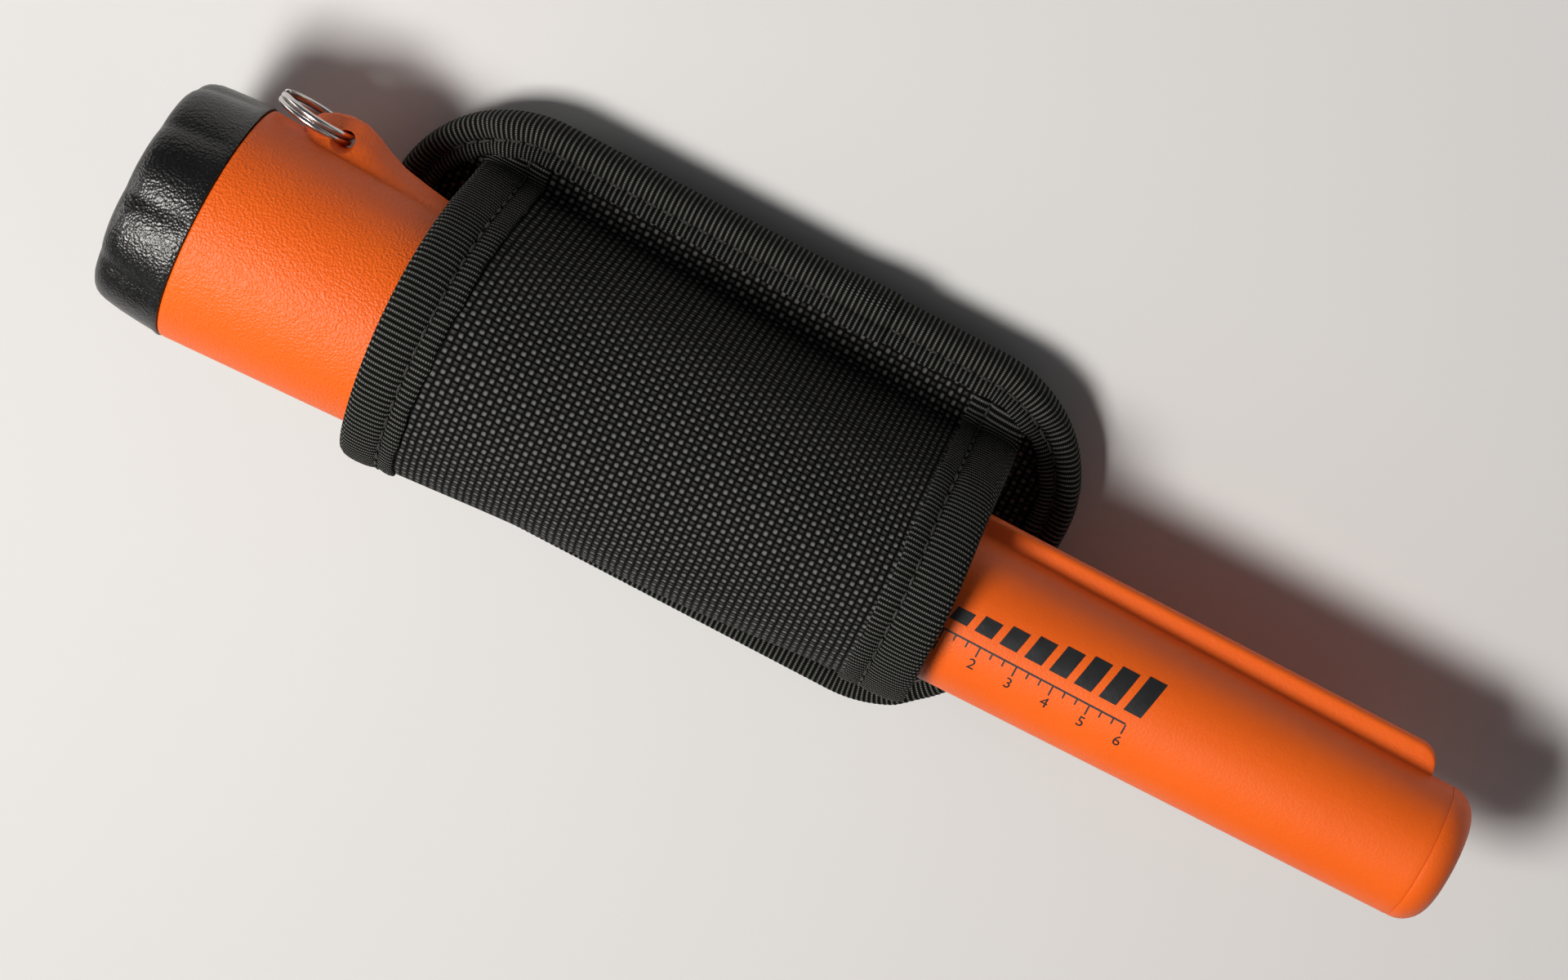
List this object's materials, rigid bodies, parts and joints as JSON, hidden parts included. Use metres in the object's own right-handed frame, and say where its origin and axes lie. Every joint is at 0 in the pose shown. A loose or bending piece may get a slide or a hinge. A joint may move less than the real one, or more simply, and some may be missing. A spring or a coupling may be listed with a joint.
{
  "type": "pinpointer metal detector probe in a belt holster",
  "caption": "Handheld pinpointer probe with a scraping blade, push button, lamp, screw-on battery cap and lanyard ring, standing in a padded fabric belt holster.",
  "frame": {"origin": "middle of the flat outer face of the holster's belt loop", "axes": "+X along the probe from the battery cap to the sensing tip, +Z from the belt loop out through the sleeve, +Y to the side where the lanyard eye and scraping blade are"},
  "size_m": [0.229, 0.0674, 0.0529],
  "materials": {
    "orange_plastic": "fine moulded grain",
    "black_plastic": "leather grain on the cap, plain inside",
    "rubber": "matt",
    "foam": "closed-cell foam",
    "battery_jacket": "printed jacket",
    "plated_steel": "plated",
    "ring_steel": "bright nickel plate",
    "circuit_laminate": "solder mask",
    "white_plastic": "satin",
    "copper": "enamelled wire",
    "ferrite": "dull sintered",
    "clear_lens": "clear",
    "nylon_weave": "ballistic nylon weave",
    "nylon_tape": "ribbed binding tape"
  },
  "bodies": {
    "holster": {"front_sleeve": "nylon_weave", "sleeve_binding_top": "nylon_tape", "sleeve_binding_bottom": "nylon_tape", "back_panel": "nylon_weave", "panel_binding": "nylon_tape", "belt_loop": "nylon_weave"},
    "cap_pad": {"battery_pad": "foam"},
    "cap": {"battery_cap": "black_plastic", "cap_seal": "rubber"},
    "ring": {"split_ring": "ring_steel"},
    "button": {"power_button": "rubber"},
    "plunger": {"switch_plunger": "white_plastic"},
    "motor_rotor": {"motor_weight": "plated_steel"},
    "probe": {"housing": "orange_plastic", "tip_cap": "orange_plastic", "contact_plate": "black_plastic", "chassis": "black_plastic", "microcontroller": "black_plastic", "capacitor": "black_plastic", "switch_body": "black_plastic", "button_bezel": "black_plastic", "speaker": "black_plastic", "battery_lead_1": "rubber", "battery_lead_2": "rubber", "speaker_membrane": "foam", "rod_cushion": "foam", "battery_case": "battery_jacket", "battery_terminals": "plated_steel", "snap_socket": "plated_steel", "snap_stud": "plated_steel", "board_screw_1": "plated_steel", "board_screw_2": "plated_steel", "board_screw_3": "plated_steel", "board_screw_4": "plated_steel", "crystal": "plated_steel", "motor_can": "plated_steel", "circuit_board": "circuit_laminate", "coil_connector": "white_plastic", "coil_bobbin": "white_plastic", "lamp_bulb": "white_plastic", "transmit_coil_rear": "copper", "receive_coil": "copper", "transmit_coil_front": "copper", "coil_lead_1": "copper", "coil_lead_2": "copper", "ferrite_rod": "ferrite", "lamp_lens": "clear_lens"}
  },
  "joints": [
    {"name": "probe_draw", "type": "slide", "parent": "holster", "child": "probe", "axis": [-1, 0, 0], "range_m": [0, 0.19]},
    {"name": "cap_lift", "type": "slide", "parent": "probe", "child": "cap_pad", "axis": [1, 0, 0], "range_m": [-0.009, 0]},
    {"name": "cap_turn", "type": "hinge", "parent": "cap_pad", "child": "cap", "pos_m": [-0.0872, 0, 0.03], "axis": [1, 0, 0], "range_deg": [-810, 0]},
    {"name": "ring_swing", "type": "hinge", "parent": "probe", "child": "ring", "pos_m": [-0.0682, 0.01983, 0.02278], "axis": [0, 0.342, 0.9397], "range_deg": [-165, 6]},
    {"name": "button_press", "type": "slide", "parent": "probe", "child": "button", "axis": [0, -0.342, -0.9397], "range_m": [0, 0.0008], "stiffness_N_per_m": 1500},
    {"name": "switch_press", "type": "slide", "parent": "probe", "child": "plunger", "axis": [0, -0.342, -0.9397], "range_m": [0, 0.0003]},
    {"name": "motor_spin", "type": "hinge", "parent": "probe", "child": "motor_rotor", "pos_m": [-0.0052, -0.00349, 0.02041], "axis": [1, 0, 0], "continuous": true}
  ],
  "couplings": [
    {"joint": "cap_lift", "follows": "cap_turn", "m_per_rad": 0.00063662},
    {"joint": "switch_press", "follows": "button_press", "ratio": 0.375}
  ]
}
